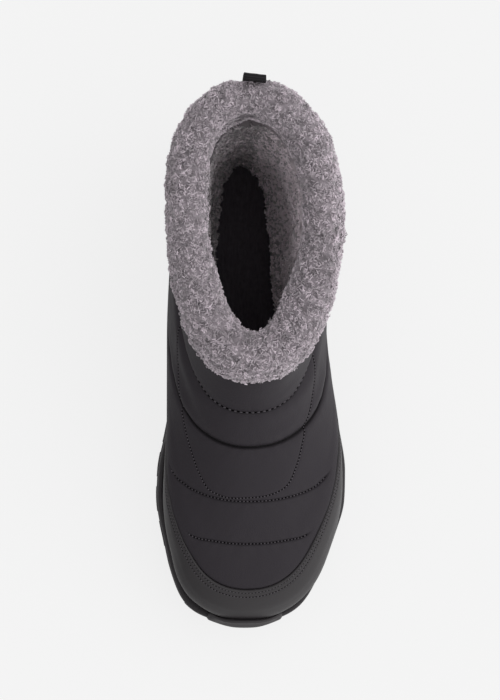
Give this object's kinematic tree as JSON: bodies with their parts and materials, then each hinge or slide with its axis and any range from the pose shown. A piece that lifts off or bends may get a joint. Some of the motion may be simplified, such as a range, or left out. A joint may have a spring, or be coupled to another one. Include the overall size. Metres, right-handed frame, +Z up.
{
  "type": "winter bootie",
  "caption": "Low pull-on winter bootie for a left foot: padded quilted upper, rolled fleece cuff, smooth rand, heel pull loop and a lugged sole with a toe bumper.",
  "frame": {"origin": "On the floor, under the middle of the boot's bounding box.", "axes": "+X to the outer (lateral) side, -Y to the toe and +Y to the heel, +Z up. The boot stands on its sole on z = 0."},
  "size_m": [0.101, 0.2772, 0.1693],
  "materials": {
    "rubber": "matt black rubber with lugs",
    "foam": "matt moulded foam",
    "nylon": "plain woven nylon, slightly creased, soft sheen",
    "coated": "smooth coated synthetic leather, fine grain",
    "fleece": "grey curly pile fleece",
    "felt": "black brushed knit over foam",
    "webbing": "black woven tape"
  },
  "bodies": {
    "root": {"outsole": "rubber", "midsole": "foam", "insole": "felt", "upper": "nylon", "lining": "fleece", "rand": "coated", "fleece_cuff": "fleece", "pull_loop": "webbing"}
  },
  "joints": []
}
